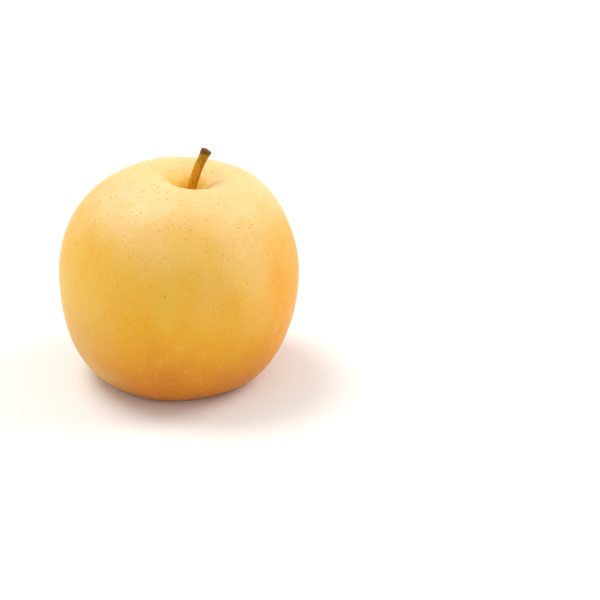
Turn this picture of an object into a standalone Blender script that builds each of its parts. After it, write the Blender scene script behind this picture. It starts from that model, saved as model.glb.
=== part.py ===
"""A whole Asian pear standing on its base: the fruit, its woody stem and its dry calyx.

Units are metres and +Z is up. The origin is on the surface the pear stands on, in the middle
of the fruit's outline. +X is to the right and +Y is to the back, seen from the front.
"""

import bmesh
import bpy
from math import cos, exp, pi, radians, sin, tan
from mathutils import Matrix, Vector

# ---------------------------------------------------------------- driving dimensions

# Fruit, as a turned outline before it is leaned and lobed.
EQUATOR_RADIUS = 0.0428        # widest ring
EQUATOR_HEIGHT = 0.0382        # height of the widest ring
SHOULDER_RADIUS = 0.0152       # crest ring round the stem cavity
SHOULDER_HEIGHT = 0.0750       # height of that crest
BASE_RADIUS = 0.0232           # ring that the fruit rests on
CAVITY_DEPTH = 0.0125          # shoulder crest down to the cavity floor
CAVITY_FLOOR_RIM = 0.0017      # flat floor round the stem
BASIN_DEPTH = 0.0090           # base ring up to the basin floor
BASIN_FLOOR_RIM = 0.0012       # flat floor round the calyx

# Fullness of the four arcs of the outline: 0 is a quarter of an ellipse, more is squarer.
UPPER_FULLNESS = -0.006
LOWER_FULLNESS = -0.008
CAVITY_FULLNESS = 0.030
BASIN_FULLNESS = -0.030

# How the fruit grew away from a turned shape.
CROWN_SHIFT = Vector((0.0055, 0.0000, 0.0))      # the stem cavity sits to one side
CROWN_SLOPE_RIGHT = radians(5.4)                 # the crown falls to the right
CROWN_SLOPE_BACK = radians(0.8)                  # and a little to the back
BASE_SHIFT = Vector((-0.0010, 0.0, 0.0))         # the base sits to the other side
LOBES = 5                                        # five carpels show as faint lobes
LOBE_DEPTH = 0.012                               # share of the radius
LOBE_TURN = radians(35.0)
LOBE_CORE = 0.0076                               # radius inside which the lobes fade out
OVAL_DEPTH = 0.006                               # share of the radius
OVAL_TURN = radians(20.0)
REST_FLAT_DEPTH = 0.00018                        # how much the rest ring is flattened

# Stem.
STEM_RADIUS = 0.00153          # at its foot
STEM_NECK_RADIUS = 0.00163     # below the flared end
STEM_END_RADIUS = 0.00196      # at the cut end
STEM_HEIGHT = 0.0218           # cavity floor to the middle of the cut end
STEM_REACH = 0.0070            # how far the end leans to the right of the foot
STEM_BACK_REACH = 0.0008       # and to the back
STEM_BEND = 0.60               # share of the lean that comes from bending
STEM_BEND_POWER = 2.3          # how late along the stem it bends
STEM_FLARE_LENGTH = 0.0020     # how far below the cut end the flare fades
STEM_SEAT_DEPTH = 0.0028       # how deep the stem's foot sits in the fruit

# Calyx.
CALYX_RADIUS = 0.0030          # round disc on the basin floor
CALYX_HEIGHT = 0.0022          # disc's height below the basin floor
CALYX_SEAT_DEPTH = 0.0012      # how deep the disc sits in the fruit
CALYX_TAPER = 0.92             # radius at the disc's lower edge, as a share
CALYX_RIM = 0.0014             # width of the rim that the sepals stand on
SEPALS = 5
SEPAL_LENGTH = 0.0030          # stubs that stand on the disc
SEPAL_TAPER = 0.45             # width at a stub's tip, as a share
SEPAL_SPREAD = radians(24.0)   # how far they spread outwards

# Fits and fineness.
SEAT_CLEARANCE = 0.0003        # gap round a grown-in foot, so that the solids stay apart
SEGMENTS = 56                  # round the fruit
ARC_STEPS = 10                 # along a short arc of the outline
LONG_ARC_STEPS = 13            # along a long one
STEM_SIDES = 14
STEM_STEPS = 16
MERGE_DISTANCE = 0.000001

# ---------------------------------------------------------------- places that follow

CAVITY_FLOOR_HEIGHT = SHOULDER_HEIGHT - CAVITY_DEPTH
CAVITY_FLOOR_RADIUS = STEM_RADIUS + CAVITY_FLOOR_RIM
BASIN_FLOOR_RADIUS = CALYX_RADIUS + BASIN_FLOOR_RIM
UP = Vector((0.0, 0.0, 1.0))


# ---------------------------------------------------------------- the scene

def clear_scene():
    for thing in list(bpy.data.objects):
        bpy.data.objects.remove(thing, do_unlink=True)


def make_material(name, colour, roughness):
    material = bpy.data.materials.new(name)
    material.use_nodes = True
    shader = material.node_tree.nodes["Principled BSDF"]
    shader.inputs["Base Color"].default_value = (*colour, 1.0)
    shader.inputs["Roughness"].default_value = roughness
    shader.inputs["Metallic"].default_value = 0.0
    material.diffuse_color = (*colour, 1.0)
    return material


def add_object(name, bm, material):
    """Turn a bmesh into a named, smooth-shaded object in the scene."""
    bmesh.ops.recalc_face_normals(bm, faces=bm.faces)
    mesh = bpy.data.meshes.new(name)
    bm.to_mesh(mesh)
    bm.free()
    mesh.shade_smooth()
    mesh.set_sharp_from_angle(angle=radians(40.0))
    thing = bpy.data.objects.new(name, mesh)
    bpy.context.collection.objects.link(thing)
    thing.data.materials.append(material)
    return thing


def cut_seat(target, cutter):
    """Cut a seat into the target with a hidden cutter."""
    cutter.hide_render = True
    cutter.display_type = 'WIRE'
    cut = target.modifiers.new("seat_" + cutter.name, 'BOOLEAN')
    cut.operation = 'DIFFERENCE'
    cut.solver = 'EXACT'
    cut.object = cutter


# ---------------------------------------------------------------- the fruit's shape

def rounded_arc(level_end, upright_end, fullness, steps):
    """Points from an end where the outline lies level to one where it stands upright.

    The ends are (radius, height) pairs. The first point is left out, so arcs can be joined.
    """
    points = []
    for step in range(1, steps + 1):
        angle = 0.5 * pi * step / steps
        bulge = fullness * sin(2.0 * angle) ** 2
        across = sin(angle) + bulge
        along = cos(angle) + bulge
        radius = level_end[0] + (upright_end[0] - level_end[0]) * across
        height = upright_end[1] + (level_end[1] - upright_end[1]) * along
        points.append((radius, height))
    return points


def outline():
    """The turned outline, from the middle of the basin floor up to the middle of the cavity."""
    basin_floor = (BASIN_FLOOR_RADIUS, BASIN_DEPTH)
    base = (BASE_RADIUS, 0.0)
    equator = (EQUATOR_RADIUS, EQUATOR_HEIGHT)
    shoulder = (SHOULDER_RADIUS, SHOULDER_HEIGHT)
    cavity_floor = (CAVITY_FLOOR_RADIUS, CAVITY_FLOOR_HEIGHT)
    basin = rounded_arc(base, basin_floor, BASIN_FULLNESS, ARC_STEPS)
    cavity = rounded_arc(shoulder, cavity_floor, CAVITY_FULLNESS, ARC_STEPS)
    upper = rounded_arc(shoulder, equator, UPPER_FULLNESS, LONG_ARC_STEPS)
    lower = rounded_arc(base, equator, LOWER_FULLNESS, LONG_ARC_STEPS)
    points = [(0.0, BASIN_DEPTH)]
    points += reversed(basin)
    points += [base]
    points += lower
    points += reversed(upper[:-1])
    points += [shoulder]
    points += cavity
    points += [(0.0, CAVITY_FLOOR_HEIGHT)]
    return points


def crown_share(point):
    """1 at the stem cavity's crest, fading outwards to 0 at the equator and below."""
    radius = Vector((point.x, point.y)).length
    out = (radius - SHOULDER_RADIUS) / (EQUATOR_RADIUS - SHOULDER_RADIUS)
    out = min(max(out, 0.0), 1.0)
    rise = (point.z - EQUATOR_HEIGHT) / (SHOULDER_HEIGHT - EQUATOR_HEIGHT)
    return max(rise, 0.0) * (1.0 - out * out * (3.0 - 2.0 * out))


def base_share(point):
    """0 at the equator and above, rising smoothly to 1 at the base."""
    drop = max(1.0 - point.z / EQUATOR_HEIGHT, 0.0)
    return drop * drop * (3.0 - 2.0 * drop)


def lobe_share(point):
    """How strongly the lobes show: most at the shoulders and the base, not at all on the axis."""
    radius = Vector((point.x, point.y)).length
    off_axis = 1.0 - exp(-(radius / LOBE_CORE) ** 2)
    height_share = (point.z - EQUATOR_HEIGHT) / EQUATOR_HEIGHT
    return off_axis * min(height_share * height_share, 1.0)


def grown(point):
    """Move a point of the turned shape to its place on the grown fruit."""
    angle = Vector((1.0, 0.0)).angle_signed(Vector((point.x, point.y)), 0.0)
    swell = 1.0
    swell += LOBE_DEPTH * lobe_share(point) * cos(LOBES * (angle + LOBE_TURN))
    swell += OVAL_DEPTH * lobe_share(point) * cos(2.0 * (angle + OVAL_TURN))
    crown = crown_share(point)
    moved = Vector((point.x * swell, point.y * swell, point.z))
    moved.z -= crown * (tan(CROWN_SLOPE_RIGHT) * moved.x + tan(CROWN_SLOPE_BACK) * moved.y)
    return moved + crown * CROWN_SHIFT + base_share(point) * BASE_SHIFT


def make_fruit(material):
    bm = bmesh.new()
    ring = [bm.verts.new((radius, 0.0, height)) for radius, height in outline()]
    edges = [bm.edges.new(pair) for pair in zip(ring, ring[1:])]
    bmesh.ops.spin(bm, geom=ring + edges, cent=(0.0, 0.0, 0.0), axis=UP,
                   angle=2.0 * pi, steps=SEGMENTS, use_merge=True)
    bmesh.ops.remove_doubles(bm, verts=bm.verts, dist=MERGE_DISTANCE)
    for vert in bm.verts:
        vert.co = grown(vert.co)
    lowest = min(vert.co.z for vert in bm.verts)
    for vert in bm.verts:
        vert.co.z = max(vert.co.z, lowest + REST_FLAT_DEPTH)
    return add_object("fruit", bm, material)


# ---------------------------------------------------------------- the stem

def stem_foot():
    """The middle of the cavity floor, where the stem comes out of the fruit."""
    return grown(Vector((0.0, 0.0, CAVITY_FLOOR_HEIGHT)))


def stem_point(share):
    """The stem's middle line: nearly upright at the foot and bending over towards its end."""
    bend = (1.0 - STEM_BEND) * share + STEM_BEND * share ** STEM_BEND_POWER
    return stem_foot() + Vector((STEM_REACH * bend, STEM_BACK_REACH * bend, STEM_HEIGHT * share))


def stem_direction(share):
    """The way the stem points at a share of its length."""
    step = 0.5 / STEM_STEPS
    return (stem_point(share + step) - stem_point(max(share - step, 0.0))).normalized()


def stem_radius(share):
    """Slightly thicker towards the top, then flared to the cut end."""
    radius = STEM_RADIUS + (STEM_NECK_RADIUS - STEM_RADIUS) * share
    below_end = (1.0 - share) * STEM_HEIGHT
    return radius + (STEM_END_RADIUS - STEM_NECK_RADIUS) * exp(-(below_end / STEM_FLARE_LENGTH) ** 2)


def ring_at(bm, centre, direction, radius, sides):
    """A ring of points round a direction."""
    turn = UP.rotation_difference(direction).to_matrix().to_4x4()
    place = Matrix.Translation(centre) @ turn
    return bmesh.ops.create_circle(bm, segments=sides, radius=radius, matrix=place)["verts"]


def loft(bm, rings):
    """Bridge neighbouring rings and close both ends."""
    for lower, upper in zip(rings, rings[1:]):
        count = len(lower)
        for index in range(count):
            following = (index + 1) % count
            bm.faces.new((lower[index], lower[following], upper[following], upper[index]))
    bm.faces.new(rings[0])
    bm.faces.new(rings[-1])


def make_stem(material):
    bm = bmesh.new()
    direction = stem_direction(0.0)
    foot = stem_foot() - direction * (STEM_SEAT_DEPTH - SEAT_CLEARANCE)
    rings = [ring_at(bm, foot, direction, STEM_RADIUS, STEM_SIDES)]
    for step in range(STEM_STEPS + 1):
        share = step / STEM_STEPS
        ring = ring_at(bm, stem_point(share), stem_direction(share), stem_radius(share), STEM_SIDES)
        rings.append(ring)
    loft(bm, rings)
    return add_object("stem", bm, material)


def make_stem_seat(material):
    """The hole that the stem's foot grows out of."""
    bm = bmesh.new()
    direction = stem_direction(0.0)
    bottom = stem_foot() - direction * STEM_SEAT_DEPTH
    top = stem_foot() + direction * STEM_SEAT_DEPTH
    radius = STEM_RADIUS + SEAT_CLEARANCE
    sides = 2 * STEM_SIDES
    loft(bm, [ring_at(bm, bottom, direction, radius, sides), ring_at(bm, top, direction, radius, sides)])
    return add_object("stem_seat", bm, material)


# ---------------------------------------------------------------- the calyx

def calyx_foot():
    """The middle of the basin floor, where the calyx comes out of the fruit."""
    return grown(Vector((0.0, 0.0, BASIN_DEPTH)))


def make_calyx(material):
    """A small disc that hangs in the basin, with five stubs round its rim."""
    bm = bmesh.new()
    sides = 4 * SEPALS
    foot = calyx_foot()
    top = foot + UP * (CALYX_SEAT_DEPTH - SEAT_CLEARANCE)
    bottom = foot - UP * CALYX_HEIGHT
    rings = [ring_at(bm, bottom, UP, CALYX_TAPER * CALYX_RADIUS, sides),
             ring_at(bm, foot, UP, CALYX_RADIUS, sides),
             ring_at(bm, top, UP, CALYX_RADIUS, sides)]
    loft(bm, rings)
    bmesh.ops.recalc_face_normals(bm, faces=bm.faces)
    underside = min(bm.faces, key=lambda face: face.calc_center_median().z)
    rim = bmesh.ops.inset_individual(bm, faces=[underside], thickness=CALYX_RIM)["faces"]
    for sepal in range(SEPALS):
        turn = 2.0 * pi * sepal / SEPALS
        outwards = Vector((cos(turn), sin(turn), 0.0))
        root = max(rim, key=lambda face: (face.calc_center_median() - foot).dot(outwards))
        rim.remove(root)
        tip = bmesh.ops.extrude_discrete_faces(bm, faces=[root])["faces"][0]
        middle = tip.calc_center_median()
        reach = SEPAL_LENGTH * (outwards * sin(SEPAL_SPREAD) - UP * cos(SEPAL_SPREAD))
        for vert in tip.verts:
            vert.co = middle + SEPAL_TAPER * (vert.co - middle) + reach
    return add_object("calyx", bm, material)


def make_calyx_seat(material):
    """The shallow seat in the basin floor that the calyx grows out of."""
    bm = bmesh.new()
    top = calyx_foot() + UP * CALYX_SEAT_DEPTH
    bottom = calyx_foot() - UP * CALYX_SEAT_DEPTH
    radius = CALYX_RADIUS + SEAT_CLEARANCE
    sides = 8 * SEPALS
    loft(bm, [ring_at(bm, bottom, UP, radius, sides), ring_at(bm, top, UP, radius, sides)])
    return add_object("calyx_seat", bm, material)


# ---------------------------------------------------------------- putting it together

def stand_on_origin(fruit, things):
    """Move everything so that the fruit stands on the origin, in the middle of its outline."""
    corners = [vert.co for vert in fruit.data.vertices]
    middle_x = 0.5 * (min(co.x for co in corners) + max(co.x for co in corners))
    middle_y = 0.5 * (min(co.y for co in corners) + max(co.y for co in corners))
    lowest = min(co.z for co in corners)
    shift = Matrix.Translation((-middle_x, -middle_y, -lowest))
    for thing in things:
        thing.data.transform(shift)


def main():
    clear_scene()
    fruit = make_fruit(make_material("skin", (0.83, 0.56, 0.16), 0.42))
    stem = make_stem(make_material("bark", (0.36, 0.19, 0.05), 0.70))
    calyx = make_calyx(make_material("dry_calyx", (0.16, 0.09, 0.04), 0.85))
    cutter_material = make_material("cutter", (0.5, 0.5, 0.5), 0.5)
    stem_seat = make_stem_seat(cutter_material)
    calyx_seat = make_calyx_seat(cutter_material)
    stand_on_origin(fruit, (fruit, stem, calyx, stem_seat, calyx_seat))
    cut_seat(fruit, stem_seat)
    cut_seat(fruit, calyx_seat)


main()
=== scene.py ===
"""Looks of a whole Asian pear: its skin, its woody stem, its dry calyx and a pale studio.

Every size is in metres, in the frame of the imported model: +Z up, +X right, +Y to the back.
"""

import math

import bpy
import numpy as np
from mathutils import Matrix, Vector, noise


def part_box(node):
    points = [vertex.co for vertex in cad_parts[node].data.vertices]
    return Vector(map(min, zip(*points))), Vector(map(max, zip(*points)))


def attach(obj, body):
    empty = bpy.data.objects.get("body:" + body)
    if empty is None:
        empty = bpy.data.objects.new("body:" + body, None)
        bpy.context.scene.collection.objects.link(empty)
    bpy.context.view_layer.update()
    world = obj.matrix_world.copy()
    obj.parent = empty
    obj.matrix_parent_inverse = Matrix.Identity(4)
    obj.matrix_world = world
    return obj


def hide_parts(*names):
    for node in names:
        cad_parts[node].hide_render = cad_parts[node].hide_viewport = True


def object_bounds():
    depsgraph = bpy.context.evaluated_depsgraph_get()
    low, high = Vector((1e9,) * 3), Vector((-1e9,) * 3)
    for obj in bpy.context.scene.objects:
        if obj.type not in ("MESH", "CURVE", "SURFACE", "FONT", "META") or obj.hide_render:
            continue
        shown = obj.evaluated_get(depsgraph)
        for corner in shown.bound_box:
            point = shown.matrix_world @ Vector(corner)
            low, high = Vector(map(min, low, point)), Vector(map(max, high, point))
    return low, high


bl_info = {
    "name": "Asian pear",
    "version": (1, 0, 0),
    "blender": (4, 5, 0),
    "location": "3D View > Sidebar > Pear",
    "description": "Models and dresses a whole Asian pear on a plain pale floor",
    "category": "Add Mesh",
}

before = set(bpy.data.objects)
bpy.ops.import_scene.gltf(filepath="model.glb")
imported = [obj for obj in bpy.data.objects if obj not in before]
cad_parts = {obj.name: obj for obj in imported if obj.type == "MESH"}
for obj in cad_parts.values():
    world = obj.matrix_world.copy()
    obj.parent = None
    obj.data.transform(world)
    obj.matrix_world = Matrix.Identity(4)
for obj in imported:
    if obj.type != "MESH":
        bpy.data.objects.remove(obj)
CAD_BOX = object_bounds()
FRUIT_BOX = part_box("fruit")
CALYX_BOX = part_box("calyx")
MERGE_DISTANCE = 0.000002
FULL_TURN = 2.0 * math.pi
GOLDEN_TURN = math.pi * (3.0 - math.sqrt(5.0))
CALYX_WIDTH = CALYX_BOX[1].x - CALYX_BOX[0].x


# ---------------------------------------------------------------- settings

def length(name, description, default):
    """A size that a user can change."""
    return bpy.props.FloatProperty(name=name, description=description, default=default,
                                   unit='LENGTH', subtype='DISTANCE', precision=5)


def share(name, description, default):
    """A plain number."""
    return bpy.props.FloatProperty(name=name, description=description, default=default, precision=4)


def turn(name, description, degrees):
    """An angle."""
    return bpy.props.FloatProperty(name=name, description=description,
                                   default=math.radians(degrees), unit='ROTATION', subtype='ANGLE')


def whole(name, description, default):
    """A count."""
    return bpy.props.IntProperty(name=name, description=description, default=default, min=1)


def colour(name, description, red, green, blue):
    """A colour, in linear light."""
    return bpy.props.FloatVectorProperty(name=name, description=description, subtype='COLOR',
                                         size=3, min=0.0, max=1.0, default=(red, green, blue))


def spot(name, description, right, back, up):
    """A place, or a way to look."""
    return bpy.props.FloatVectorProperty(name=name, description=description, subtype='TRANSLATION',
                                         unit='LENGTH', size=3, precision=4, default=(right, back, up))


class FruitSettings(bpy.types.PropertyGroup):
    """The turned outline of the fruit, how it grew away from it, and its skin."""

    equator_radius: length("Equator radius", "Widest ring of the fruit", 0.0428)
    equator_height: length("Equator height", "Height of the widest ring", 0.0382)
    shoulder_radius: length("Shoulder radius", "Crest ring round the stem cavity", 0.0152)
    shoulder_height: length("Shoulder height", "Height of that crest", 0.0750)
    base_radius: length("Base radius", "Ring that the fruit rests on", 0.0232)
    cavity_radius: length("Cavity floor radius", "Where the cavity wall meets its floor", 0.00323)
    cavity_depth: length("Cavity depth", "Shoulder crest down to the cavity floor", 0.0125)
    basin_radius: length("Basin floor radius", "Where the basin wall meets its floor", 0.0042)
    basin_depth: length("Basin depth", "Base ring up to the basin floor", 0.0090)
    upper_fullness: share("Upper fullness", "How full the shoulder curve is", -0.006)
    lower_fullness: share("Lower fullness", "How full the lower curve is", -0.008)
    cavity_fullness: share("Cavity fullness", "How full the cavity wall is", 0.030)
    basin_fullness: share("Basin fullness", "How full the basin wall is", -0.030)
    crown_shift: length("Crown shift", "How far the cavity sits to the right", 0.0055)
    crown_slope_right: turn("Crown slope right", "How the crown falls to the right", 5.4)
    crown_slope_back: turn("Crown slope back", "How the crown falls to the back", 0.8)
    base_shift: length("Base shift", "How far the base sits to the right", -0.0010)
    lobes: whole("Lobes", "Carpels that show as faint lobes", 5)
    lobe_depth: share("Lobe depth", "Share of the radius", 0.012)
    lobe_turn: turn("Lobe turn", "Where the lobes begin", 35.0)
    lobe_core: length("Lobe core", "Radius inside which the lobes fade out", 0.0076)
    oval_depth: share("Oval depth", "Share of the radius", 0.006)
    oval_turn: turn("Oval turn", "Where the oval is longest", 20.0)
    rest_flat: length("Rest flat", "How much the rest ring is flattened", 0.00018)
    segments: whole("Segments", "Faces round the fruit", 144)
    arc_steps: whole("Arc steps", "Faces along each arc of the outline", 26)
    fold_depth: length("Fold depth", "Radial folds down in the cavity", 0.00024)
    lip_depth: length("Lip depth", "Unevenness of the cavity's rim", 0.0005)
    ripple_depth: length("Ripple depth", "Slow waves all over the skin", 0.00016)
    # Painted highlight: a paler patch centred here.
    highlight_spot: spot("Pale flank", "Middle of a paler patch at the front right", 0.025, -0.028, 0.040)
    # The painted highlight is strongest here, and the real dots are also closest here.
    dotted_highlight_shoulder: spot("Dotted shoulder", "Where the bloom is thickest and the dots are closest",
                          -0.0125, -0.0125, 0.0715)
    # Amber at the base: the skin's own colour, made darker as painted shade and warmer as painted bounce
    # light.
    skin_low_and_shade: colour("Low skin", "Amber skin at the base", 0.57, 0.165, 0.001)
    skin_middle: colour("Middle skin", "Golden skin at the equator", 0.775, 0.368, 0.006)
    # Straw colour on the left: a painted reflection of the pale surroundings, toned down as painted shade.
    skin_left_reflection_and_shade: colour("Shaded skin", "Straw coloured skin on the side turned from the sun",
                       0.84, 0.565, 0.14)
    skin_upper: colour("Upper skin", "Yellow skin above the equator", 0.79, 0.440, 0.048)
    # Pale shoulders: partly the skin's own colour, partly a painted highlight; also used for the painted
    # highlight at the front right.
    skin_high_and_highlight: colour("High skin", "Pale skin on the shoulders", 0.89, 0.60, 0.255)
    # Painted highlight: a pale patch on the front left of the shoulder.
    skin_painted_highlight: colour("Bloom", "Pale powdery bloom on the shoulder", 0.93, 0.70, 0.38)
    skin_green: colour("Green tinge", "Faint green patches", 0.76, 0.52, 0.070)
    # Warm patches of the skin's own, also used as a painted warm reflection and painted shade down the
    # right side.
    skin_blush_and_reflection: colour("Blush", "Warm patches on the side that had the sun", 0.79, 0.305, 0.003)
    grain_dark: colour("Dark grain", "Darker specks of the fine grain", 0.42, 0.24, 0.04)
    grain_pale: colour("Pale grain", "Paler specks of the fine grain", 1.0, 0.86, 0.50)
    dot_colour: colour("Dots", "What the breathing dots leave of the skin's colour", 0.50, 0.46, 0.22)
    # Painted light: amber bounce light down in the cavity, bright enough to lift its shade.
    cavity_glow: colour("Deep skin", "Amber skin down in the cavity", 0.95, 0.59, 0.065)
    russet: colour("Russet", "Olive brown russet round the stem's foot", 0.50, 0.27, 0.040)


class StemSettings(bpy.types.PropertyGroup):
    """The stem's line, its thickness and its bark."""

    foot_radius: length("Foot radius", "Radius at the cavity floor", 0.00153)
    neck_radius: length("Neck radius", "Radius below the flared end", 0.00163)
    end_radius: length("End radius", "Radius at the cut end", 0.00196)
    height: length("Height", "Cavity floor to the cut end", 0.0218)
    reach: length("Reach", "How far the end leans to the right", 0.0070)
    back_reach: length("Back reach", "How far the end leans to the back", 0.0008)
    bend: share("Bend", "Share of the lean that comes from bending", 0.60)
    bend_power: share("Bend power", "How late along the stem it bends", 2.3)
    flare_length: length("Flare length", "How far below the end the flare fades", 0.0020)
    collar: length("Collar", "How far the stem swells at its foot", 0.00040)
    root: length("Root", "Stem hidden below the cavity floor", 0.0016)
    sides: whole("Sides", "Faces round the stem", 48)
    steps: whole("Steps", "Rings along the stem", 90)
    bark_depth: length("Bark depth", "Ridges and pits of the bark", 0.00011)
    rim_depth: length("Rim depth", "Raggedness of the cut end", 0.00022)
    bark_low: colour("Low bark", "Young golden wood near the fruit", 0.70, 0.295, 0.003)
    bark_high: colour("High bark", "Olive brown bark", 0.52, 0.275, 0.008)
    # Painted shade down the stem's right side, away from the main light.
    bark_painted_shade: colour("Shaded bark", "Darker wood down its right side", 0.34, 0.115, 0.006)
    furrow_colour: colour("Furrows", "Dark lines between the fibres", 0.100, 0.042, 0.007)
    fleck_colour: colour("Flecks", "Pale frayed flecks", 0.62, 0.43, 0.17)
    cut_colour: colour("Cut end", "Dry wood of the cut end", 0.100, 0.045, 0.014)
    pith_colour: colour("Pith", "Paler middle of the cut end", 0.27, 0.135, 0.050)


class CalyxSettings(bpy.types.PropertyGroup):
    """The dry remnant of the flower."""

    sepals: whole("Sepals", "Stubs round the disc", 5)
    spread: turn("Spread", "How far the sepals spread", 24.0)
    sepal_length: length("Sepal length", "Length of a stub", 0.0030)
    sepal_width: length("Sepal width", "Width of a stub at its foot", 0.0021)
    sepal_thickness: length("Sepal thickness", "Thickness of a stub", 0.00030)
    disc_height: length("Disc height", "Disc below the basin floor", 0.0022)
    threads: whole("Threads", "Dry threads inside the ring of sepals", 14)
    thread_length: length("Thread length", "Length of a middling thread", 0.0017)
    thread_radius: length("Thread radius", "Radius of a thread at its foot", 0.00016)
    tuft_radius: length("Tuft radius", "Ring round the outermost threads", 0.0010)
    dry_dark: colour("Dark", "Dry dark tissue", 0.050, 0.026, 0.012)
    dry_pale: colour("Pale", "Dry pale edges", 0.24, 0.145, 0.060)


class StageSettings(bpy.types.PropertyGroup):
    """Floor, lights and camera."""

    floor_radius: length("Floor radius", "Radius of the round floor", 6.0)
    floor_colour: colour("Floor", "Pale floor", 0.93, 0.93, 0.925)
    floor_faint: colour("Faint floor", "Faint clouds on the floor", 0.90, 0.90, 0.89)
    wall_light: share("Wall light", "Light from the pale walls, near the horizon", 1.0)
    ceiling_light: share("Ceiling light", "Light from straight above", 0.58)
    left_way: spot("Left light", "The way towards the left light", -0.38, 0.25, 0.89)
    left_spread: turn("Left light's spread", "How wide and soft it is", 34.0)
    left_power: share("Left light's power", "How strong it is", 1.64)
    left_tint: colour("Left light's tint", "Its colour", 1.0, 0.99, 0.97)
    right_way: spot("Right light", "The way towards the right light", 0.74, 0.20, 0.63)
    right_spread: turn("Right light's spread", "How wide and soft it is", 32.0)
    right_power: share("Right light's power", "How strong it is", 1.24)
    right_tint: colour("Right light's tint", "Its colour", 1.0, 0.98, 0.95)
    lens: share("Lens", "Lens in millimetres, on a film 36 mm wide", 134.5)
    camera_height: length("Camera height", "Camera above the floor", 0.3777)
    camera_distance: length("Camera distance", "Camera in front of the fruit", 0.7250)
    aim: spot("Aim", "What the camera looks at, to the right of the fruit", 0.0431, 0.0, 0.0257)


# ---------------------------------------------------------------- small helpers

def clear_selection():
    """Leave nothing selected."""
    if bpy.context.object and bpy.context.object.mode != 'OBJECT':
        bpy.ops.object.mode_set(mode='OBJECT')
    bpy.ops.object.select_all(action='DESELECT')


def take(thing):
    """Select one object alone and make it the active one."""
    clear_selection()
    thing.select_set(True)
    bpy.context.view_layer.objects.active = thing


def settle(thing):
    """Apply an object's place, turn and scale to its mesh."""
    take(thing)
    bpy.ops.object.transform_apply(location=True, rotation=True, scale=True)


def points_of(thing):
    """The vertices of a mesh as rows of x, y, z."""
    rows = np.empty(len(thing.data.vertices) * 3)
    thing.data.vertices.foreach_get("co", rows)
    return rows.reshape(-1, 3)


def put_points(thing, rows):
    """Write the vertices of a mesh back."""
    thing.data.vertices.foreach_set("co", np.asarray(rows, dtype=np.float32).ravel())
    thing.data.update()


def smooth_step(values):
    """0 below 0, 1 above 1 and a soft S between."""
    clipped = np.clip(values, 0.0, 1.0)
    return clipped * clipped * (3.0 - 2.0 * clipped)


def wave(rows, scale, seed):
    """Soft noise from -1 to 1 at each point."""
    offset = Vector((seed * 3.7, seed * 1.3, seed * 2.1))
    return np.array([noise.noise(Vector(row) * scale + offset) for row in rows])


# ---------------------------------------------------------------- node helpers

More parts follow.
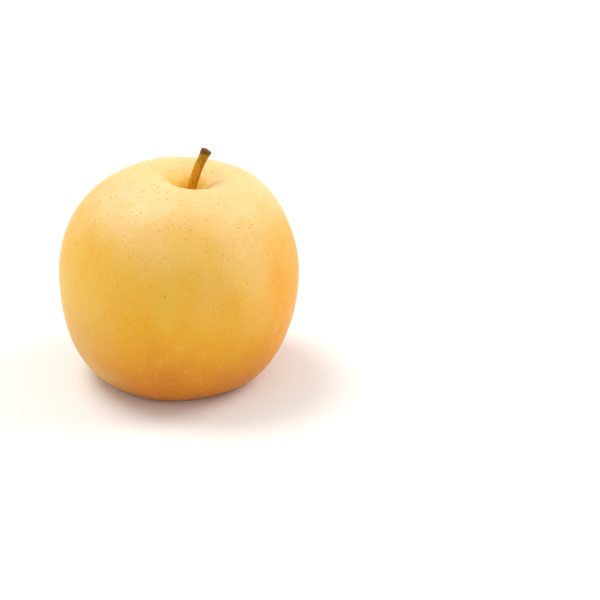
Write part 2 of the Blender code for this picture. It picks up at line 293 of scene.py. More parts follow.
class Weaver:
    """Builds the nodes of a material, one short call a node."""

    def __init__(self, name):
        self.material = bpy.data.materials.new(name)
        self.material.use_nodes = True
        self.tree = self.material.node_tree
        self.shader = self.tree.nodes["Principled BSDF"]

    def add(self, kind, settings=None, inputs=None):
        """A node with its settings and inputs; an input is a value or another node's output."""
        made = self.tree.nodes.new(kind)
        for key, value in (settings or {}).items():
            setattr(made, key, value)
        for key, value in (inputs or {}).items():
            self.feed(made.inputs[key], value)
        return made

    def feed(self, socket, value):
        """Link an output to a socket, or set its value."""
        if isinstance(value, bpy.types.NodeSocket):
            self.tree.links.new(value, socket)
        elif hasattr(value, "__len__") and len(value) == 3 and socket.type == 'RGBA':
            socket.default_value = (*value, 1.0)
        else:
            socket.default_value = value

    def place(self):
        """Object coordinates, in metres."""
        return self.add("ShaderNodeTexCoord").outputs["Object"]

    def axes(self, vector):
        """The three parts of a vector, by the names X, Y and Z."""
        return self.add("ShaderNodeSeparateXYZ", None, {"Vector": vector}).outputs

    def away(self, vector, centre):
        """Distance from a place."""
        inputs = {0: vector, 1: centre}
        return self.add("ShaderNodeVectorMath", {"operation": 'DISTANCE'}, inputs).outputs["Value"]

    def stretch(self, vector, scale, shift=(0.0, 0.0, 0.0)):
        """Coordinates scaled and shifted."""
        inputs = {"Vector": vector, "Scale": scale, "Location": shift}
        return self.add("ShaderNodeMapping", None, inputs).outputs["Vector"]

    def calc(self, operation, first, second=0.0, third=0.0, clamp=False):
        """One step of arithmetic."""
        made = self.add("ShaderNodeMath", {"operation": operation, "use_clamp": clamp})
        for socket, value in zip(made.inputs, (first, second, third)):
            self.feed(socket, value)
        return made.outputs[0]

    def times(self, first, second):
        """Two values multiplied."""
        return self.calc('MULTIPLY', first, second)

    def span(self, value, low, high, to_low=0.0, to_high=1.0, kind='SMOOTHSTEP'):
        """A value carried from one range to another."""
        inputs = {"Value": value, "From Min": low, "From Max": high, "To Min": to_low, "To Max": to_high}
        return self.add("ShaderNodeMapRange", {"interpolation_type": kind}, inputs).outputs["Result"]

    def cloud(self, vector, scale, detail=3.0, roughness=0.5, distortion=0.0):
        """Soft noise from 0 to 1."""
        inputs = {"Vector": vector, "Scale": scale, "Detail": detail,
                  "Roughness": roughness, "Distortion": distortion}
        return self.add("ShaderNodeTexNoise", {"noise_dimensions": '3D'}, inputs).outputs["Fac"]

    def vary(self, noise, low, high):
        """A soft noise made to run from one value to another; most of it lies from 0.3 to 0.7."""
        return self.span(noise, 0.3, 0.7, low, high, 'LINEAR')

    def ragged(self, value, noise, amount):
        """A value made uneven by a noise, by up to the amount either way."""
        return self.calc('ADD', value, self.vary(noise, -amount, amount))

    def cells(self, vector, scale):
        """Scattered points: a node with the distance to the nearest and its random colour."""
        return self.add("ShaderNodeTexVoronoi", {"feature": 'F1'}, {"Vector": vector, "Scale": scale})

    def blend(self, amount, first, second, mode='MIX'):
        """Two colours mixed; sockets 6 and 7 take the colours and output 2 gives the mixed one."""
        made = self.add("ShaderNodeMix", {"data_type": 'RGBA', "blend_type": mode})
        self.feed(made.inputs["Factor"], amount)
        self.feed(made.inputs[6], first)
        self.feed(made.inputs[7], second)
        return made.outputs[2]

    def bump(self, height, strength, distance, normal=None):
        """Fine relief in the shading."""
        inputs = {"Height": height, "Strength": strength, "Distance": distance}
        if normal is not None:
            inputs["Normal"] = normal
        return self.add("ShaderNodeBump", None, inputs).outputs["Normal"]

    def finish(self, **inputs):
        """Feed the shader's own sockets by name, spaces as underscores."""
        for key, value in inputs.items():
            self.feed(self.shader.inputs[key.replace("_", " ")], value)
        return self.material


# ---------------------------------------------------------------- fruit

def outline_points(fruit):
    """The corners of the half outline with their bezier handles, as (radius, height) pairs."""
    cavity_floor = fruit.shoulder_height - fruit.cavity_depth
    stops = [
        ((fruit.basin_radius, fruit.basin_depth), None),
        ((fruit.base_radius, 0.0), fruit.basin_fullness),
        ((fruit.equator_radius, fruit.equator_height), fruit.lower_fullness),
        ((fruit.shoulder_radius, fruit.shoulder_height), fruit.upper_fullness),
        ((fruit.cavity_radius, cavity_floor), fruit.cavity_fullness),
    ]
    corners = []
    for place, fullness in stops:
        corners.append({"at": place, "left": place, "right": place, "fullness": fullness})
    # a quarter circle's handle; a longer one moves the arc's middle by 3/8 of what it gains
    circle_handle = 4.0 * (math.sqrt(2.0) - 1.0) / 3.0
    for index in range(1, len(corners)):
        start, end = corners[index - 1], corners[index]
        reach = circle_handle + end["fullness"] * 8.0 / 3.0
        run = end["at"][0] - start["at"][0]
        rise = end["at"][1] - start["at"][1]
        # the outline stands upright at the equator and at both floors' rims, and lies level between
        if index % 2 == 0:
            start["right"] = (start["at"][0] + reach * run, start["at"][1])
            end["left"] = (end["at"][0], end["at"][1] - reach * rise)
        else:
            start["right"] = (start["at"][0], start["at"][1] + reach * rise)
            end["left"] = (end["at"][0] - reach * run, end["at"][1])
    return corners


def grow(fruit, rows):
    """Carry points of the turned shape to the grown one: leaning crown, faint lobes, oval."""
    rows = rows.copy()
    radius = np.hypot(rows[:, 0], rows[:, 1])
    angle = np.arctan2(rows[:, 1], rows[:, 0])
    off_axis = 1.0 - np.exp(-(radius / fruit.lobe_core) ** 2)
    height_share = (rows[:, 2] - fruit.equator_height) / fruit.equator_height
    lobing = off_axis * np.minimum(height_share ** 2, 1.0)
    swell = 1.0 + fruit.lobe_depth * lobing * np.cos(fruit.lobes * (angle + fruit.lobe_turn))
    swell += fruit.oval_depth * lobing * np.cos(2.0 * (angle + fruit.oval_turn))
    out = (radius - fruit.shoulder_radius) / (fruit.equator_radius - fruit.shoulder_radius)
    rise = (rows[:, 2] - fruit.equator_height) / (fruit.shoulder_height - fruit.equator_height)
    crown = np.maximum(rise, 0.0) * (1.0 - smooth_step(out))
    base = smooth_step(1.0 - rows[:, 2] / fruit.equator_height)
    rows[:, 0] *= swell
    rows[:, 1] *= swell
    fall = math.tan(fruit.crown_slope_right) * rows[:, 0] + math.tan(fruit.crown_slope_back) * rows[:, 1]
    rows[:, 2] -= crown * fall
    rows[:, 0] += crown * fruit.crown_shift + base * fruit.base_shift
    return rows


def foot_of(fruit, height):
    """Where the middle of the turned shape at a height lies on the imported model."""
    middle = grow(fruit, np.array([[0.0, 0.0, height]]))[0]
    return Vector(middle) + fruit_shift(fruit)


def fruit_shift(fruit):
    """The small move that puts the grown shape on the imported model's box."""
    angles = np.linspace(0.0, FULL_TURN, 361)
    ring = np.stack([fruit.equator_radius * np.cos(angles), fruit.equator_radius * np.sin(angles),
                     np.full(361, fruit.equator_height)], axis=1)
    ring = grow(fruit, ring)
    low, high = FRUIT_BOX
    return Vector((0.5 * (low.x + high.x) - 0.5 * (ring[:, 0].min() + ring[:, 0].max()),
                   0.5 * (low.y + high.y) - 0.5 * (ring[:, 1].min() + ring[:, 1].max()),
                   low.z - fruit.rest_flat))


def skin_material(fruit):
    """Waxy golden skin: colour by height with painted shade and painted highlights, painted reflections and
    a painted glow, faint patches, breathing dots, fine relief.
    """
    weave = Weaver("golden_skin")
    place = weave.place()
    axes = weave.axes(place)
    shoulder = weave.away(place, fruit.dotted_highlight_shoulder)
    ground = skin_ground(weave, fruit, place, axes)
    ground = shoulder_highlight(weave, fruit, place, shoulder, ground)
    ground = skin_patches(weave, fruit, place, axes, ground)
    ground, dots = skin_dots(weave, fruit, place, axes, shoulder, ground)
    ground = cavity_skin(weave, fruit, place, ground)

    relief = weave.bump(weave.cloud(place, 170.0, 3.0, 0.5), 0.30, 0.0010)
    relief = weave.bump(weave.cloud(place, 900.0, 3.0, 0.5), 0.09, 0.00010, relief)
    relief = weave.bump(dots, 0.25, 0.00008, relief)
    shine = weave.vary(weave.cloud(place, 240.0, 3.0, 0.6), 0.38, 0.50)
    shine = weave.calc('ADD', shine, weave.times(dots, 0.20))
    return weave.finish(Base_Color=ground, Roughness=shine, Normal=relief, Coat_Weight=0.20,
                        Coat_Roughness=0.25, Subsurface_Weight=0.15, Subsurface_Scale=0.003,
                        Subsurface_Radius=(1.0, 0.55, 0.18), IOR=1.34, Specular_IOR_Level=0.15)


def skin_ground(weave, fruit, place, axes):
    """Amber at the base to pale on the shoulders, with painted shade at the base and a painted highlight on
    the shoulders; a painted reflection on the left, toned down as painted shade; a painted highlight at the
    front right.
    """
    slow = weave.cloud(place, 38.0, 2.0, 0.5)
    height = weave.ragged(axes["Z"], slow, 0.006)
    # Colour by height: the darker amber towards the base is partly painted shade and bounce light, and the
    # palest shoulders are partly a painted highlight.
    ground = weave.blend(weave.span(height, 0.004, 0.040), fruit.skin_low_and_shade, fruit.skin_middle)
    ground = weave.blend(weave.span(height, 0.036, 0.057), ground, fruit.skin_upper)
    # Palest at the top: partly own colour, partly a painted highlight.
    ground = weave.blend(weave.span(height, 0.054, 0.075), ground, fruit.skin_high_and_highlight)
    # Painted reflection on the left below the shoulders, toned down as painted shade.
    leftward = weave.ragged(axes["X"], slow, 0.008)
    left_reflection = weave.times(weave.span(leftward, -0.012, -0.038, 0.0, 0.46), weave.span(height, 0.060, 0.038))
    ground = weave.blend(left_reflection, ground, fruit.skin_left_reflection_and_shade)
    # Painted highlight at the front right, blended from the pale top colour.
    highlight_reach = weave.away(weave.stretch(place, (1.0, 1.0, 0.75)), fruit.highlight_spot)
    highlight_reach = weave.ragged(highlight_reach, slow, -0.005)
    return weave.blend(weave.span(highlight_reach, 0.025, 0.004, 0.0, 0.42), ground, fruit.skin_high_and_highlight)


def shoulder_highlight(weave, fruit, place, shoulder, ground):
    """Painted highlight on the dotted shoulder, broken into pale patches by a noise."""
    highlight_patches = weave.vary(weave.cloud(place, 420.0, 3.0, 0.6), 0.45, 1.0)
    highlight_patches = weave.times(weave.span(shoulder, 0.020, 0.003, 0.0, 0.60), highlight_patches)
    return weave.blend(highlight_patches, ground, fruit.skin_painted_highlight)


def skin_patches(weave, fruit, place, axes, ground):
    """Faint green patches, warm patches with a painted warm reflection and painted shade down the right
    side, a fine grain and small flecks.
    """
    patches = weave.stretch(place, (1.0, 1.0, 0.8), (0.17, 0.05, 0.23))
    patches = weave.cloud(patches, 85.0, 4.0, 0.55, 0.3)
    greenish = weave.times(weave.span(patches, 0.50, 0.74, 0.0, 0.30),
                           weave.span(axes["Z"], 0.014, 0.040, 0.25, 1.0))
    ground = weave.blend(greenish, ground, fruit.skin_green)

    warm = weave.cloud(weave.stretch(place, (1.0, 1.0, 0.7), (0.31, 0.12, 0.4)), 60.0, 3.0, 0.5)
    rightward = weave.ragged(axes["X"], warm, 0.006)
    # Painted warm reflection and painted shade down the right side, strongest low down.
    right_reflection = weave.times(weave.span(rightward, 0.020, 0.046, 0.0, 0.66),
                        weave.span(axes["Z"], 0.072, 0.044, 0.10, 1.0))
    blush_and_reflection = weave.calc('ADD', weave.span(warm, 0.52, 0.78, 0.0, 0.26), right_reflection, clamp=True)
    ground = weave.blend(blush_and_reflection, ground, fruit.skin_blush_and_reflection)

    grain = weave.span(weave.cloud(place, 1300.0, 3.0, 0.6), 0.35, 0.65)
    ground = weave.blend(0.05, ground, weave.blend(grain, fruit.grain_dark, fruit.grain_pale))
    flecks = weave.cloud(weave.stretch(place, (1.0, 1.0, 0.6)), 380.0, 3.0, 0.6)
    ground = weave.blend(weave.span(flecks, 0.56, 0.72, 0.0, 0.20), ground, fruit.skin_green)
    return weave.blend(weave.span(flecks, 0.44, 0.30, 0.0, 0.16), ground, fruit.skin_blush_and_reflection)


def skin_dots(weave, fruit, place, axes, shoulder, ground):
    """Breathing dots with a faint green ring, closer together upwards: the skin, and the dots alone."""
    jitter = weave.add("ShaderNodeTexNoise", {"noise_dimensions": '3D'},
                       {"Vector": place, "Scale": 900.0, "Detail": 2.0}).outputs["Color"]
    wander = weave.add("ShaderNodeVectorMath", {"operation": 'MULTIPLY_ADD'},
                       {0: jitter, 1: (0.0008, 0.0008, 0.0008), 2: place}).outputs["Vector"]
    clumps = weave.span(weave.cloud(place, 120.0, 2.0, 0.5), 0.36, 0.62, 0.28, 1.25)
    clumps = weave.calc('ADD', clumps, weave.span(shoulder, 0.015, 0.005, 0.0, 1.1))
    rising = weave.calc('POWER', weave.span(axes["Z"], 0.024, 0.069, 0.0, 1.0, 'LINEAR'), 1.75)
    crowd = weave.times(rising, clumps)
    usual = weave.times(crowd, 1.20)
    dots = dot_mask(weave, wander, 680.0, 0.31, usual)
    specks = dot_mask(weave, wander, 1080.0, 0.30, weave.times(crowd, 0.90))
    large = dot_mask(weave, wander, 270.0, 0.14, weave.times(crowd, 0.32))
    rings = dot_mask(weave, wander, 680.0, 0.62, usual)
    ground = weave.blend(weave.times(rings, 0.16), ground, fruit.skin_green)
    every = weave.calc('MAXIMUM', weave.times(dots, 0.50), weave.times(specks, 0.36))
    every = weave.calc('MAXIMUM', every, weave.times(large, 0.62))
    every = weave.calc('MULTIPLY', every, weave.span(shoulder, 0.017, 0.006, 1.0, 1.55), clamp=True)
    return weave.blend(every, ground, fruit.dot_colour, 'MULTIPLY'), every


def cavity_skin(weave, fruit, place, ground):
    """A painted glow of amber bounce light down the cavity wall, lifting its shade, and streaky russet
    round the stem's foot.
    """
    foot = foot_of(fruit, fruit.shoulder_height - fruit.cavity_depth)
    spokes = weave.axes(weave.stretch(place, (1.0, 1.0, 1.0), -foot))
    square = weave.calc('ADD', weave.times(spokes["X"], spokes["X"]), weave.times(spokes["Y"], spokes["Y"]))
    reach = weave.calc('SQRT', square)
    inside = weave.span(spokes["Z"], -0.010, -0.004)
    angle = weave.calc('ARCTAN2', spokes["Y"], spokes["X"])
    round_trip = weave.add("ShaderNodeCombineXYZ", None, {
        "X": weave.times(weave.calc('SINE', angle), 0.008),
        "Y": weave.times(weave.calc('COSINE', angle), 0.008),
        "Z": weave.times(reach, 0.35)}).outputs["Vector"]
    reach = weave.ragged(reach, weave.cloud(round_trip, 520.0, 4.0, 0.62), 0.0011)
    # Painted glow of bounce light, strongest near the stem's foot and fading up the cavity wall.
    painted_glow = weave.times(weave.span(reach, 0.0095, 0.0040), inside)
    ground = weave.blend(weave.times(painted_glow, 0.75), ground, fruit.cavity_glow)
    rusty = weave.times(weave.span(reach, 0.0046, 0.0026), inside)
    return weave.blend(weave.times(rusty, 0.50), ground, fruit.russet)


def dot_mask(weave, vector, scale, reach, crowd):
    """Round dots of many sizes, where crowd is the share of places that have one."""
    found = weave.cells(vector, scale)
    luck = weave.add("ShaderNodeSeparateColor", None, {"Color": found.outputs["Color"]}).outputs
    smallest = 0.40 * reach
    size = weave.span(luck["Red"], 0.0, 1.0, smallest, reach, 'LINEAR')
    inside = weave.calc('SUBTRACT', size, found.outputs["Distance"])
    edge = weave.calc('DIVIDE', inside, smallest, clamp=True)
    there = weave.calc('LESS_THAN', luck["Green"], crowd)
    depth = weave.span(luck["Blue"], 0.0, 1.0, 0.45, 1.15, 'LINEAR')
    return weave.times(weave.times(edge, there), depth)


class PEAR_OT_fruit(bpy.types.Operator):
    """Spin the fruit's outline, grow its crown and lobes, and give it its skin"""

    bl_idname = "pear.fruit"
    bl_label = "Fruit"

    def execute(self, context):
        fruit = context.scene.pear_fruit
        skin = self.spin_outline(fruit)
        rows = grow(fruit, self.turned_details(fruit, points_of(skin)))
        rows += np.array(fruit_shift(fruit))
        rows[:, 2] = np.maximum(rows[:, 2], FRUIT_BOX[0].z)
        put_points(skin, rows)
        take(skin)
        bpy.ops.object.shade_smooth()
        skin.data.materials.append(skin_material(fruit))
        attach(skin, "root")
        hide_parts("fruit")
        return {'FINISHED'}

    def spin_outline(self, fruit):
        """A bezier half outline made a mesh, spun round the axis and closed at both ends."""
        clear_selection()
        bpy.ops.curve.primitive_bezier_curve_add(location=(0.0, 0.0, 0.0))
        line = bpy.context.object
        line.name = "fruit_skin"
        corners = outline_points(fruit)
        spline = line.data.splines[0]
        spline.bezier_points.add(len(corners) - len(spline.bezier_points))
        spline.resolution_u = fruit.arc_steps
        line.data.resolution_u = fruit.arc_steps
        for knot, corner in zip(spline.bezier_points, corners):
            knot.handle_left_type = 'FREE'
            knot.handle_right_type = 'FREE'
            knot.co = (corner["at"][0], 0.0, corner["at"][1])
            knot.handle_left = (corner["left"][0], 0.0, corner["left"][1])
            knot.handle_right = (corner["right"][0], 0.0, corner["right"][1])
        take(line)
        bpy.ops.object.convert(target='MESH')
        skin = bpy.context.object
        ends = [skin.data.vertices[0].co.copy(), skin.data.vertices[-1].co.copy()]
        bpy.ops.object.mode_set(mode='EDIT')
        bpy.ops.mesh.select_all(action='SELECT')
        bpy.ops.mesh.spin(steps=fruit.segments, angle=FULL_TURN, center=(0.0, 0.0, 0.0),
                          axis=(0.0, 0.0, 1.0))
        bpy.ops.mesh.select_all(action='SELECT')
        bpy.ops.mesh.remove_doubles(threshold=MERGE_DISTANCE)
        for end in ends:
            self.close_end(skin, end)
        bpy.ops.mesh.select_all(action='SELECT')
        bpy.ops.mesh.normals_make_consistent(inside=False)
        bpy.ops.object.mode_set(mode='OBJECT')
        return skin

    def close_end(self, skin, end):
        """Extrude the open ring at an end towards the axis in three steps and close it on one point."""
        bpy.ops.mesh.select_mode(type='EDGE')
        bpy.ops.mesh.select_all(action='DESELECT')
        bpy.ops.object.mode_set(mode='OBJECT')
        for edge in skin.data.edges:
            sides = [skin.data.vertices[index].co for index in edge.vertices]
            edge.select = all(abs(co.z - end.z) < 1e-6 and abs(math.hypot(co.x, co.y) - end.x) < 1e-5
                              for co in sides)
        bpy.ops.object.mode_set(mode='EDIT')
        for shrink in (0.72, 0.6, 0.4):
            bpy.ops.mesh.extrude_edges_move()
            bpy.ops.transform.resize(value=(shrink, shrink, 1.0), center_override=(0.0, 0.0, end.z))
        bpy.ops.mesh.merge(type='CENTER')

    def turned_details(self, fruit, rows):
        """Folds down in the cavity and slow waves over the skin, on the turned shape."""
        rows = rows.copy()
        radius = np.hypot(rows[:, 0], rows[:, 1])
        angle = np.arctan2(rows[:, 1], rows[:, 0])
        high = smooth_step((rows[:, 2] - fruit.equator_height) / 0.02)
        inner = smooth_step((fruit.shoulder_radius * 0.92 - radius) / (fruit.shoulder_radius * 0.45)) * high
        on_ring = np.stack([np.cos(angle), np.sin(angle), rows[:, 2] * 60.0], axis=1)
        folds = 0.55 * np.cos(fruit.lobes * angle + 0.6)
        folds += 0.9 * wave(on_ring, 2.3, 4) + 0.7 * wave(on_ring, 5.0, 9)
        rows[:, 2] += fruit.fold_depth * inner * folds
        lip = np.exp(-((radius - fruit.shoulder_radius * 0.80) / 0.0035) ** 2) * high
        rows[:, 2] += fruit.lip_depth * lip * wave(on_ring, 1.6, 21)
        waves = wave(rows, 55.0, 2) + 0.5 * wave(rows, 140.0, 7)
        outwards = np.stack([rows[:, 0], rows[:, 1], rows[:, 2] - fruit.equator_height], axis=1)
        outwards /= np.maximum(np.linalg.norm(outwards, axis=1), 1e-9)[:, None]
        off_floor = smooth_step(rows[:, 2] / 0.006)
        waves = np.minimum(waves, 0.0) + 0.35 * np.maximum(waves, 0.0) * (1.0 - self.at_widest(fruit, rows))
        rows += outwards * (fruit.ripple_depth * off_floor * waves)[:, None]
        return rows

    def at_widest(self, fruit, rows):
        """1 at the widest ring, where the skin may not stand proud, fading above and below it."""
        return np.exp(-((rows[:, 2] - fruit.equator_height) / 0.018) ** 2)


# ---------------------------------------------------------------- stem

def stem_line(fruit, stem, along):
    """The stem's middle line at a share of its height."""
    foot = foot_of(fruit, fruit.shoulder_height - fruit.cavity_depth)
    lean = (1.0 - stem.bend) * along + stem.bend * max(along, 0.0) ** stem.bend_power
    return foot + Vector((stem.reach * lean, stem.back_reach * lean, stem.height * along))


def stem_thickness(stem, along):
    """Radius at a share of the height, with the flared end and a small collar at the foot."""
    radius = stem.foot_radius + (stem.neck_radius - stem.foot_radius) * along
    below_end = (1.0 - along) * stem.height
    radius += (stem.end_radius - stem.neck_radius) * math.exp(-(below_end / stem.flare_length) ** 2)
    return radius + stem.collar * math.exp(-(along * stem.height / 0.0010) ** 2)


def bark_material(fruit, stem):
    """Golden young wood below, rough olive brown bark above, painted shade down its right side, dark dry
    wood on the cut.
    """
    weave = Weaver("stem_bark")
    place = weave.place()
    foot = stem_line(fruit, stem, 0.0)
    centred = weave.stretch(place, (1.0, 1.0, 1.0), -foot)
    axes = weave.axes(centred)
    fibres = weave.cloud(weave.stretch(centred, (1.0, 1.0, 0.13)), 2300.0, 4.0, 0.62, 0.4)
    blotch = weave.cloud(weave.stretch(centred, (1.0, 1.0, 0.55)), 620.0, 3.0, 0.6)
    old = weave.span(weave.ragged(axes["Z"], blotch, 0.0022), 0.0145, 0.0205)
    wood = weave.blend(old, stem.bark_low, stem.bark_high)

    # Painted shade down the right side of the stem, following its lean.
    sideways = weave.calc('ADD', axes["X"], weave.times(axes["Z"], -stem.reach * 0.78 / stem.height))
    shade = weave.span(weave.ragged(sideways, blotch, 0.0004), -0.0004, 0.0010, 0.0, 0.55)
    wood = weave.blend(shade, wood, stem.bark_painted_shade)
    furrows = weave.times(weave.span(fibres, 0.52, 0.36), 0.48)
    wood = weave.blend(furrows, wood, stem.furrow_colour)
    flecks = weave.cloud(weave.stretch(centred, (1.0, 1.0, 0.45)), 3600.0, 2.0, 0.5)
    wood = weave.blend(weave.times(weave.span(flecks, 0.60, 0.72), 0.50), wood, stem.fleck_colour)

    top = weave.span(axes["Z"], stem.height - 0.0013, stem.height - 0.0004)
    wood = weave.blend(weave.times(top, 0.85), wood, stem.cut_colour)
    pith = weave.span(weave.away(place, stem_line(fruit, stem, 1.0)), 0.0015, 0.0008)
    pith = weave.times(pith, weave.span(blotch, 0.40, 0.60, 0.25, 0.75))
    wood = weave.blend(pith, wood, stem.pith_colour)

    relief = weave.bump(weave.span(fibres, 0.36, 0.66), 0.55, 0.00016)
    relief = weave.bump(blotch, 0.35, 0.00030, relief)
    rough = weave.calc('ADD', weave.vary(fibres, 0.62, 0.44), weave.times(old, 0.16))
    return weave.finish(Base_Color=wood, Roughness=rough, Normal=relief, Specular_IOR_Level=0.15)


class PEAR_OT_stem(bpy.types.Operator):
    """Draw the stem along its bent line, work its bark and cut its flared end"""

    bl_idname = "pear.stem"
    bl_label = "Stem"

    def execute(self, context):
        fruit = context.scene.pear_fruit
        stem = context.scene.pear_stem
        wood = self.draw_tube(fruit, stem)
        self.work_bark(fruit, stem, wood)
        take(wood)
        bpy.ops.object.shade_smooth()
        wood.data.materials.append(bark_material(fruit, stem))
        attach(wood, "root")
        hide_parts("stem")
        return {'FINISHED'}

    def draw_tube(self, fruit, stem):
        """Extrude a ring up the stem's line, then shape the cut end with insets."""
        clear_selection()
        start = -stem.root / stem.height
        shares = [start + (1.0 - start) * step / stem.steps for step in range(stem.steps + 1)]
        first = stem_line(fruit, stem, shares[0])
        radius = stem_thickness(stem, shares[0])
        bpy.ops.mesh.primitive_circle_add(vertices=stem.sides, radius=radius, fill_type='NGON',
                                          location=first)
        wood = bpy.context.object
        wood.name = "stem_wood"
        settle(wood)
        bpy.ops.object.mode_set(mode='EDIT')
        bpy.ops.mesh.select_all(action='SELECT')
        heading = Vector((0.0, 0.0, 1.0))
        previous = first
        for along in shares[1:]:
            here = stem_line(fruit, stem, along)
            ahead = stem_line(fruit, stem, along + 0.01)
            behind = stem_line(fruit, stem, along - 0.01)
            new_heading = (ahead - behind).normalized()
            new_radius = stem_thickness(stem, along)
            bpy.ops.mesh.extrude_region_move(TRANSFORM_OT_translate={"value": here - previous})
            grown = new_radius / radius
            bpy.ops.transform.resize(value=(grown, grown, grown), center_override=here)
            tilt = heading.rotation_difference(new_heading)
            if tilt.angle > 1e-6:
                self.tilt_selected(wood, here, tilt)
            heading, previous, radius = new_heading, here, new_radius
        for width, depth in ((0.10, 0.0), (0.14, 0.00010), (0.16, -0.00012), (0.22, -0.00016),
                             (0.18, -0.00010)):
            bpy.ops.mesh.inset(thickness=stem.end_radius * width, depth=depth)
        bpy.ops.mesh.poke()
        bpy.ops.mesh.select_all(action='SELECT')
        bpy.ops.mesh.normals_make_consistent(inside=False)
        bpy.ops.object.mode_set(mode='OBJECT')
        return wood

    def tilt_selected(self, wood, centre, tilt):
        """Turn the selected ring about a point."""
        bpy.ops.object.mode_set(mode='OBJECT')
        place = Matrix.Translation(centre) @ tilt.to_matrix().to_4x4() @ Matrix.Translation(-centre)
        for vert in wood.data.vertices:
            if vert.select:
                vert.co = place @ vert.co
        bpy.ops.object.mode_set(mode='EDIT')

    def work_bark(self, fruit, stem, wood):
        """Ridges, pits and a ragged rim, worked into the mesh."""
        rows = points_of(wood)
        foot = stem_line(fruit, stem, 0.0)
        along = np.clip((rows[:, 2] - foot.z) / stem.height, 0.0, 1.0)
        line = np.array([stem_line(fruit, stem, value) for value in along])
        spoke = rows - line
        reach = np.linalg.norm(spoke, axis=1)
        way = spoke / np.maximum(reach, 1e-6)[:, None]
        angle = np.arctan2(spoke[:, 1], spoke[:, 0])
        tall = np.stack([np.cos(angle), np.sin(angle), along * 2.6], axis=1)
        fine = np.stack([np.cos(angle) * 1.3, np.sin(angle) * 1.3, along * 9.0], axis=1)
        old = 0.35 + 0.65 * smooth_step((along - 0.40) / 0.30)
        ridges = 0.9 * wave(tall, 2.2, 3) + 0.6 * wave(tall, 4.5, 5) + 0.55 * wave(fine, 2.4, 8)
        side = smooth_step(reach / (stem.foot_radius * 0.8))
        rows += way * (stem.bark_depth * old * side * ridges)[:, None]
        rim = smooth_step((along - 0.955) / 0.04)
        rows[:, 2] += stem.rim_depth * rim * wave(rows, 900.0, 11)
        put_points(wood, rows)


# ---------------------------------------------------------------- calyx

def calyx_material(calyx):
    """Dry brown tissue with pale frayed edges."""
    weave = Weaver("dry_tissue")
    place = weave.place()
    coarse = weave.cloud(place, 700.0, 4.0, 0.6)
    fine = weave.cloud(weave.stretch(place, (1.0, 1.0, 0.35)), 2600.0, 3.0, 0.6)
    dry = weave.blend(weave.span(coarse, 0.40, 0.68), calyx.dry_dark, calyx.dry_pale)
    dry = weave.blend(weave.span(fine, 0.55, 0.75, 0.0, 0.5), dry, calyx.dry_dark)
    relief = weave.bump(fine, 0.6, 0.00015)
    relief = weave.bump(coarse, 0.5, 0.00040, relief)
    rough = weave.vary(coarse, 0.92, 0.72)
    return weave.finish(Base_Color=dry, Roughness=rough, Normal=relief, Specular_IOR_Level=0.30)


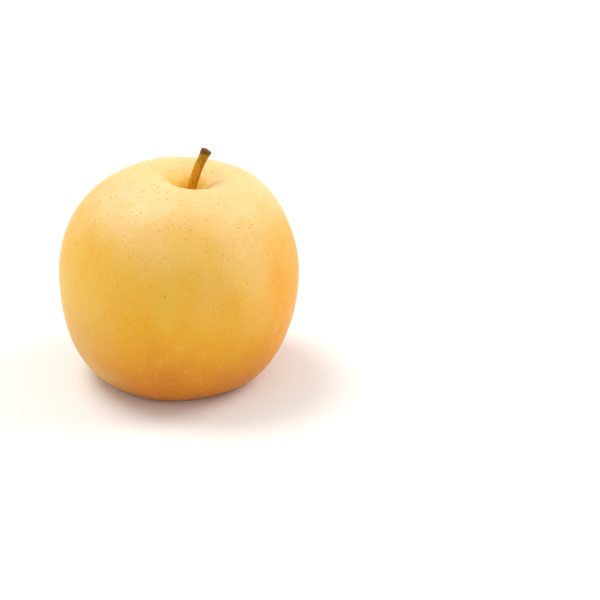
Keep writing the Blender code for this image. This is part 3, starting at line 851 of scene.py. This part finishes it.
class PEAR_OT_calyx(bpy.types.Operator):
    """Model the dry remnant of the flower: a disc, curled sepals and a tuft of threads"""

    bl_idname = "pear.calyx"
    bl_label = "Calyx"

    def execute(self, context):
        fruit = context.scene.pear_fruit
        calyx = context.scene.pear_calyx
        disc = self.shape_disc(fruit, calyx)
        parts = [disc]
        for index in range(calyx.sepals):
            parts.append(self.shape_sepal(fruit, calyx, index))
        for index in range(calyx.threads):
            parts.append(self.shape_thread(fruit, calyx, index))
        clear_selection()
        for part in parts:
            part.select_set(True)
        bpy.context.view_layer.objects.active = disc
        bpy.ops.object.join()
        disc.name = "dry_flower"
        rows = points_of(disc)
        rows[:, 2] += 0.00016 * wave(rows, 900.0, 5)
        rows[:, 0] += 0.00014 * wave(rows, 800.0, 15)
        low, high = CALYX_BOX
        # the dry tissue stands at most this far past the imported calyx
        rows = np.clip(rows, np.array(low) - 0.0004, np.array(high) + 0.0006)
        put_points(disc, rows)
        take(disc)
        bpy.ops.object.shade_smooth()
        disc.data.materials.append(calyx_material(calyx))
        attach(disc, "root")
        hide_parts("calyx")
        return {'FINISHED'}

    def middle(self, fruit):
        """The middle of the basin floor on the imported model."""
        return foot_of(fruit, fruit.basin_depth)

    def shape_disc(self, fruit, calyx):
        """A stubby cup that hangs from the basin floor."""
        clear_selection()
        foot = self.middle(fruit)
        radius = 0.5 * CALYX_WIDTH * 0.86
        down = Vector((0.0, 0.0, 0.5 * calyx.disc_height - 0.0003))
        bpy.ops.mesh.primitive_cylinder_add(vertices=40, radius=radius, location=foot - down,
                                            depth=calyx.disc_height + 0.0006)
        disc = bpy.context.object
        settle(disc)
        bpy.ops.object.mode_set(mode='EDIT')
        bpy.ops.mesh.select_mode(type='FACE')
        bpy.ops.mesh.select_all(action='DESELECT')
        bpy.ops.object.mode_set(mode='OBJECT')
        for face in disc.data.polygons:
            face.select = face.normal.z < -0.9
        bpy.ops.object.mode_set(mode='EDIT')
        for width, depth in ((0.22, 0.0001), (0.16, -0.0007), (0.22, -0.0005)):
            bpy.ops.mesh.inset(thickness=radius * width, depth=depth)
        bpy.ops.mesh.poke()
        bpy.ops.mesh.select_all(action='SELECT')
        bpy.ops.mesh.subdivide(number_cuts=2)
        bpy.ops.object.mode_set(mode='OBJECT')
        return disc

    def shape_sepal(self, fruit, calyx, index):
        """One dry curled sepal: a tapering tongue with a fold along its middle."""
        clear_selection()
        foot = self.middle(fruit)
        angle = FULL_TURN * index / calyx.sepals + 0.12 * math.sin(3.1 * index)
        out = Vector((math.cos(angle), math.sin(angle), 0.0))
        across = Vector((-math.sin(angle), math.cos(angle), 0.0))
        bpy.ops.mesh.primitive_grid_add(x_subdivisions=6, y_subdivisions=12, size=1.0)
        sepal = bpy.context.object
        rows = points_of(sepal)
        down = rows[:, 1] + 0.5
        side = rows[:, 0]
        width = calyx.sepal_width * (1.0 - 0.72 * down ** 1.5)
        curl = calyx.spread * (0.35 + 1.2 * down + 0.25 * math.sin(2.0 * index))
        reach = calyx.sepal_length * down
        fold = 0.0028 * side ** 2 * (1.0 - down)
        outwards = 0.34 * CALYX_WIDTH + 0.8 * reach * np.sin(curl) + fold
        drop = calyx.disc_height - 0.0003 + reach * np.cos(curl)
        rows = (np.array(foot)[None, :] + np.outer(outwards, out) + np.outer(side * width, across)
                - np.outer(drop, (0.0, 0.0, 1.0)))
        put_points(sepal, rows)
        take(sepal)
        thick = sepal.modifiers.new("thickness", 'SOLIDIFY')
        thick.thickness = calyx.sepal_thickness
        thick.offset = 0.0
        bpy.ops.object.modifier_apply(modifier=thick.name)
        return sepal

    def shape_thread(self, fruit, calyx, index):
        """One dry thread of the tuft inside the sepals."""
        clear_selection()
        foot = self.middle(fruit)
        angle = GOLDEN_TURN * index
        spread = calyx.tuft_radius * math.sqrt((index + 0.5) / calyx.threads)
        tall = calyx.thread_length * (1.0 + 0.353 * math.sin(5.3 * index))
        hang = 0.0009 - calyx.disc_height - 0.5 * tall
        middle = foot + Vector((spread * math.cos(angle), spread * math.sin(angle), hang))
        lean = (math.pi + 0.35 * math.sin(angle), 0.35 * math.cos(angle), 0.0)
        bpy.ops.mesh.primitive_cone_add(vertices=7, radius1=calyx.thread_radius, depth=tall,
                                        radius2=0.44 * calyx.thread_radius, location=middle, rotation=lean)
        thread = bpy.context.object
        settle(thread)
        return thread


# ---------------------------------------------------------------- stage

def floor_material(stage):
    """Pale matt floor."""
    weave = Weaver("pale_floor")
    faint = weave.cloud(weave.place(), 6.0, 2.0, 0.5)
    ground = weave.blend(weave.span(faint, 0.3, 0.7, 0.0, 0.03), stage.floor_colour, stage.floor_faint)
    return weave.finish(Base_Color=ground, Roughness=0.75, Specular_IOR_Level=0.20)


class PEAR_OT_stage(bpy.types.Operator):
    """Lay the pale floor, hang the soft lights and set the camera"""

    bl_idname = "pear.stage"
    bl_label = "Stage"

    def execute(self, context):
        stage = context.scene.pear_stage
        clear_selection()
        bpy.ops.mesh.primitive_circle_add(vertices=96, radius=stage.floor_radius, fill_type='NGON',
                                          location=(0.0, 0.0, CAD_BOX[0].z))
        floor = bpy.context.object
        floor.name = "floor"
        settle(floor)
        floor.data.materials.append(floor_material(stage))

        self.light_walls(context, stage)
        self.hang_light("left_light", stage.left_way, stage.left_spread, stage.left_power, stage.left_tint)
        self.hang_light("right_light", stage.right_way, stage.right_spread, stage.right_power,
                        stage.right_tint)
        self.set_camera(context, stage)
        return {'FINISHED'}

    def light_walls(self, context, stage):
        """A white studio all round: bright walls and a dimmer ceiling."""
        world = bpy.data.worlds.new("studio")
        world.use_nodes = True
        tree = world.node_tree
        backdrop = tree.nodes["Background"]
        backdrop.inputs["Color"].default_value = (1.0, 1.0, 1.0, 1.0)
        way = tree.nodes.new("ShaderNodeTexCoord")
        axes = tree.nodes.new("ShaderNodeSeparateXYZ")
        fade = tree.nodes.new("ShaderNodeMapRange")
        fade.interpolation_type = 'SMOOTHSTEP'
        for key, value in (("From Min", 0.15), ("From Max", 0.65), ("To Min", stage.wall_light),
                           ("To Max", stage.ceiling_light)):
            fade.inputs[key].default_value = value
        tree.links.new(way.outputs["Generated"], axes.inputs["Vector"])
        tree.links.new(axes.outputs["Z"], fade.inputs["Value"])
        tree.links.new(fade.outputs["Result"], backdrop.inputs["Strength"])
        context.scene.world = world
        context.scene.view_settings.view_transform = 'Standard'

    def hang_light(self, name, way, spread, power, tint):
        """A wide soft light far away, with the way towards it and the angle that it fills."""
        bpy.ops.object.light_add(type='SUN', location=way)
        lamp = bpy.context.object
        lamp.name = name
        lamp.data.angle = spread
        lamp.data.energy = power
        lamp.data.color = tint
        lamp.rotation_euler = (-way).to_track_quat('-Z', 'Y').to_euler()

    def set_camera(self, context, stage):
        """The camera stands in front and above, and looks to the right of the fruit."""
        eye = Vector((0.0, -stage.camera_distance, stage.camera_height))
        bpy.ops.object.camera_add(location=eye)
        camera = bpy.context.object
        camera.name = "camera"
        camera.data.sensor_width = 36.0
        camera.data.lens = stage.lens
        camera.data.clip_start = 0.05
        camera.rotation_euler = (stage.aim - eye).to_track_quat('-Z', 'Y').to_euler()
        context.scene.camera = camera


# ---------------------------------------------------------------- panel and registration

class PEAR_PT_panel(bpy.types.Panel):
    """Lists the pieces of the pear and their settings"""

    bl_idname = "PEAR_PT_panel"
    bl_label = "Asian pear"
    bl_space_type = 'VIEW_3D'
    bl_region_type = 'UI'
    bl_category = "Pear"

    def draw(self, context):
        scene = context.scene
        for operator, group in (("pear.fruit", scene.pear_fruit), ("pear.stem", scene.pear_stem),
                                ("pear.calyx", scene.pear_calyx), ("pear.stage", scene.pear_stage)):
            box = self.layout.box()
            box.operator(operator)
            for key in group.bl_rna.properties.keys():
                if key not in {"rna_type", "name"}:
                    box.prop(group, key)


CLASSES = (FruitSettings, StemSettings, CalyxSettings, StageSettings,
           PEAR_OT_fruit, PEAR_OT_stem, PEAR_OT_calyx, PEAR_OT_stage, PEAR_PT_panel)
GROUPS = {"pear_fruit": FruitSettings, "pear_stem": StemSettings,
          "pear_calyx": CalyxSettings, "pear_stage": StageSettings}


def register():
    for made in CLASSES:
        bpy.utils.register_class(made)
    for name, group in GROUPS.items():
        setattr(bpy.types.Scene, name, bpy.props.PointerProperty(type=group))


def unregister():
    for name in GROUPS:
        delattr(bpy.types.Scene, name)
    for made in reversed(CLASSES):
        bpy.utils.unregister_class(made)


def main():
    register()
    bpy.ops.pear.fruit()
    bpy.ops.pear.stem()
    bpy.ops.pear.calyx()
    bpy.ops.pear.stage()
    clear_selection()


if __name__ == "__main__":
    main()
